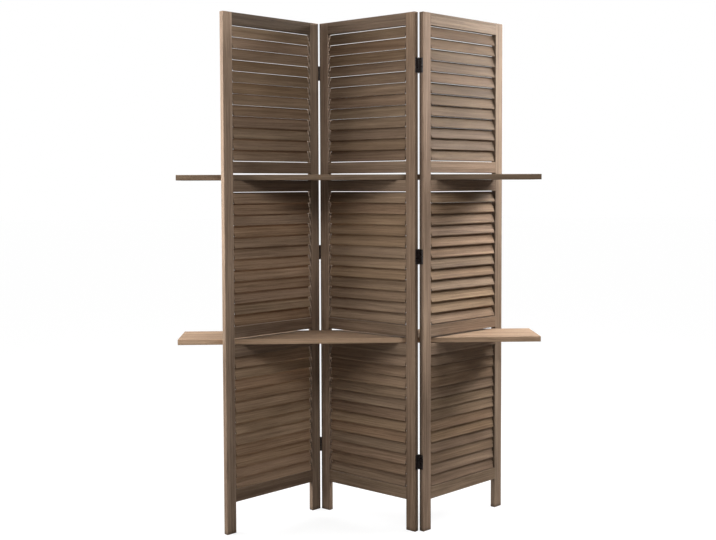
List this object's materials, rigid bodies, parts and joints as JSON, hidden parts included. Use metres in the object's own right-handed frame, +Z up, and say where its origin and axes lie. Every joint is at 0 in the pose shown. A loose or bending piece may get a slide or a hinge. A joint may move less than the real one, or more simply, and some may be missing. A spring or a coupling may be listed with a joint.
{
  "type": "slatted folding room divider",
  "caption": "Free-standing folding screen of hinged louvre panels whose wooden slats turn on end pivots, with two long shelves laid through slots in the panels.",
  "frame": {"origin": "on the floor under the middle of the shelves, which is the middle of the screen's footprint", "axes": "+X along the shelves to the right as seen from the front, +Y to the back, +Z up"},
  "size_m": [1.2, 0.2736, 1.7],
  "materials": {
    "frame": "stained, brushed grain, matt",
    "slats": "stained, brushed grain, matt",
    "shelves": "stained, satin",
    "dowels": "plain beech",
    "hinges": "black, semi-gloss",
    "screws": "black, semi-gloss"
  },
  "bodies": {
    "centre_panel": {"centre_left_stile": "frame", "centre_right_stile": "frame", "centre_top_rail": "frame", "centre_bottom_rail": "frame", "centre_shelf_rails": "frame", "centre_dowels": "dowels", "centre_hinge_leaves": "hinges", "centre_hinge_screws": "screws", "centre_upper_slats": "slats", "centre_middle_slats": "slats", "centre_lower_slats": "slats", "hinge_pins": "hinges"},
    "left_panel": {"left_outer_stile": "frame", "left_hinge_stile": "frame", "left_top_rail": "frame", "left_bottom_rail": "frame", "left_shelf_rails": "frame", "left_dowels": "dowels", "left_hinge_leaves": "hinges", "left_hinge_screws": "screws", "left_upper_slats": "slats", "left_middle_slats": "slats", "left_lower_slats": "slats"},
    "right_panel": {"right_hinge_stile": "frame", "right_outer_stile": "frame", "right_top_rail": "frame", "right_bottom_rail": "frame", "right_shelf_rails": "frame", "right_dowels": "dowels", "right_hinge_leaves": "hinges", "right_hinge_screws": "screws", "right_upper_slats": "slats"},
    "lower_shelf": {"lower_shelf": "shelves"},
    "upper_shelf": {"upper_shelf": "shelves"},
    "right_middle_slat_01": {"right_middle_slat_01": "slats"},
    "right_middle_slat_02": {"right_middle_slat_02": "slats"},
    "right_middle_slat_03": {"right_middle_slat_03": "slats"},
    "right_middle_slat_04": {"right_middle_slat_04": "slats"},
    "right_middle_slat_05": {"right_middle_slat_05": "slats"},
    "right_middle_slat_06": {"right_middle_slat_06": "slats"},
    "right_middle_slat_07": {"right_middle_slat_07": "slats"},
    "right_middle_slat_08": {"right_middle_slat_08": "slats"},
    "right_middle_slat_09": {"right_middle_slat_09": "slats"},
    "right_middle_slat_10": {"right_middle_slat_10": "slats"},
    "right_middle_slat_11": {"right_middle_slat_11": "slats"},
    "right_middle_slat_12": {"right_middle_slat_12": "slats"},
    "right_lower_slat_01": {"right_lower_slat_01": "slats"},
    "right_lower_slat_02": {"right_lower_slat_02": "slats"},
    "right_lower_slat_03": {"right_lower_slat_03": "slats"},
    "right_lower_slat_04": {"right_lower_slat_04": "slats"},
    "right_lower_slat_05": {"right_lower_slat_05": "slats"},
    "right_lower_slat_06": {"right_lower_slat_06": "slats"},
    "right_lower_slat_07": {"right_lower_slat_07": "slats"},
    "right_lower_slat_08": {"right_lower_slat_08": "slats"},
    "right_lower_slat_09": {"right_lower_slat_09": "slats"},
    "right_lower_slat_10": {"right_lower_slat_10": "slats"},
    "right_lower_slat_11": {"right_lower_slat_11": "slats"},
    "right_lower_slat_12": {"right_lower_slat_12": "slats"}
  },
  "joints": [
    {"name": "screen_fold", "type": "hinge", "parent": "centre_panel", "child": "left_panel", "pos_m": [-0.1317, 0.1241, 0.85], "axis": [0, 0, 1], "range_deg": [0, 98]},
    {"name": "right_fold", "type": "hinge", "parent": "centre_panel", "child": "right_panel", "pos_m": [0.18971, -0.1241, 0.85], "axis": [0, 0, 1], "range_deg": [0, 98]},
    {"name": "shelf_swing", "type": "hinge", "parent": "centre_panel", "child": "lower_shelf", "pos_m": [0.029, 0, 0.629], "axis": [0, 0, 1], "range_deg": [0, 49]},
    {"name": "upper_shelf_slide", "type": "slide", "parent": "lower_shelf", "child": "upper_shelf", "axis": [1, 0, 0], "range_m": [-1.07, 1.13]},
    {"name": "right_middle_slat_01_turn", "type": "hinge", "parent": "right_panel", "child": "right_middle_slat_01", "pos_m": [0.35041, 0, 0.7013], "axis": [-0.7604, -0.6494, 0], "range_deg": [-13, 130]},
    {"name": "right_middle_slat_02_turn", "type": "hinge", "parent": "right_panel", "child": "right_middle_slat_02", "pos_m": [0.35041, 0, 0.73761], "axis": [-0.7604, -0.6494, 0], "range_deg": [-13, 130]},
    {"name": "right_middle_slat_03_turn", "type": "hinge", "parent": "right_panel", "child": "right_middle_slat_03", "pos_m": [0.35041, 0, 0.77392], "axis": [-0.7604, -0.6494, 0], "range_deg": [-13, 130]},
    {"name": "right_middle_slat_04_turn", "type": "hinge", "parent": "right_panel", "child": "right_middle_slat_04", "pos_m": [0.35041, 0, 0.81023], "axis": [-0.7604, -0.6494, 0], "range_deg": [-13, 130]},
    {"name": "right_middle_slat_05_turn", "type": "hinge", "parent": "right_panel", "child": "right_middle_slat_05", "pos_m": [0.35041, 0, 0.84654], "axis": [-0.7604, -0.6494, 0], "range_deg": [-13, 130]},
    {"name": "right_middle_slat_06_turn", "type": "hinge", "parent": "right_panel", "child": "right_middle_slat_06", "pos_m": [0.35041, 0, 0.88285], "axis": [-0.7604, -0.6494, 0], "range_deg": [-13, 130]},
    {"name": "right_middle_slat_07_turn", "type": "hinge", "parent": "right_panel", "child": "right_middle_slat_07", "pos_m": [0.35041, 0, 0.91915], "axis": [-0.7604, -0.6494, 0], "range_deg": [-13, 130]},
    {"name": "right_middle_slat_08_turn", "type": "hinge", "parent": "right_panel", "child": "right_middle_slat_08", "pos_m": [0.35041, 0, 0.95546], "axis": [-0.7604, -0.6494, 0], "range_deg": [-13, 130]},
    {"name": "right_middle_slat_09_turn", "type": "hinge", "parent": "right_panel", "child": "right_middle_slat_09", "pos_m": [0.35041, 0, 0.99177], "axis": [-0.7604, -0.6494, 0], "range_deg": [-13, 130]},
    {"name": "right_middle_slat_10_turn", "type": "hinge", "parent": "right_panel", "child": "right_middle_slat_10", "pos_m": [0.35041, 0, 1.02808], "axis": [-0.7604, -0.6494, 0], "range_deg": [-13, 130]},
    {"name": "right_middle_slat_11_turn", "type": "hinge", "parent": "right_panel", "child": "right_middle_slat_11", "pos_m": [0.35041, 0, 1.06439], "axis": [-0.7604, -0.6494, 0], "range_deg": [-13, 130]},
    {"name": "right_middle_slat_12_turn", "type": "hinge", "parent": "right_panel", "child": "right_middle_slat_12", "pos_m": [0.35041, 0, 1.1007], "axis": [-0.7604, -0.6494, 0], "range_deg": [-13, 130]},
    {"name": "right_lower_slat_01_turn", "type": "hinge", "parent": "right_panel", "child": "right_lower_slat_01", "pos_m": [0.35041, 0, 0.1622], "axis": [-0.7604, -0.6494, 0], "range_deg": [-2, 140]},
    {"name": "right_lower_slat_02_turn", "type": "hinge", "parent": "right_panel", "child": "right_lower_slat_02", "pos_m": [0.35041, 0, 0.19851], "axis": [-0.7604, -0.6494, 0], "range_deg": [-2, 140]},
    {"name": "right_lower_slat_03_turn", "type": "hinge", "parent": "right_panel", "child": "right_lower_slat_03", "pos_m": [0.35041, 0, 0.23482], "axis": [-0.7604, -0.6494, 0], "range_deg": [-2, 140]},
    {"name": "right_lower_slat_04_turn", "type": "hinge", "parent": "right_panel", "child": "right_lower_slat_04", "pos_m": [0.35041, 0, 0.27113], "axis": [-0.7604, -0.6494, 0], "range_deg": [-2, 140]},
    {"name": "right_lower_slat_05_turn", "type": "hinge", "parent": "right_panel", "child": "right_lower_slat_05", "pos_m": [0.35041, 0, 0.30744], "axis": [-0.7604, -0.6494, 0], "range_deg": [-2, 140]},
    {"name": "right_lower_slat_06_turn", "type": "hinge", "parent": "right_panel", "child": "right_lower_slat_06", "pos_m": [0.35041, 0, 0.34375], "axis": [-0.7604, -0.6494, 0], "range_deg": [-2, 140]},
    {"name": "right_lower_slat_07_turn", "type": "hinge", "parent": "right_panel", "child": "right_lower_slat_07", "pos_m": [0.35041, 0, 0.38005], "axis": [-0.7604, -0.6494, 0], "range_deg": [-2, 140]},
    {"name": "right_lower_slat_08_turn", "type": "hinge", "parent": "right_panel", "child": "right_lower_slat_08", "pos_m": [0.35041, 0, 0.41636], "axis": [-0.7604, -0.6494, 0], "range_deg": [-2, 140]},
    {"name": "right_lower_slat_09_turn", "type": "hinge", "parent": "right_panel", "child": "right_lower_slat_09", "pos_m": [0.35041, 0, 0.45267], "axis": [-0.7604, -0.6494, 0], "range_deg": [-2, 140]},
    {"name": "right_lower_slat_10_turn", "type": "hinge", "parent": "right_panel", "child": "right_lower_slat_10", "pos_m": [0.35041, 0, 0.48898], "axis": [-0.7604, -0.6494, 0], "range_deg": [-2, 140]},
    {"name": "right_lower_slat_11_turn", "type": "hinge", "parent": "right_panel", "child": "right_lower_slat_11", "pos_m": [0.35041, 0, 0.52529], "axis": [-0.7604, -0.6494, 0], "range_deg": [-2, 140]},
    {"name": "right_lower_slat_12_turn", "type": "hinge", "parent": "right_panel", "child": "right_lower_slat_12", "pos_m": [0.35041, 0, 0.5616], "axis": [-0.7604, -0.6494, 0], "range_deg": [-2, 140]}
  ],
  "couplings": [
    {"joint": "right_fold", "follows": "screen_fold", "ratio": 1},
    {"joint": "shelf_swing", "follows": "screen_fold", "ratio": 0.5}
  ]
}
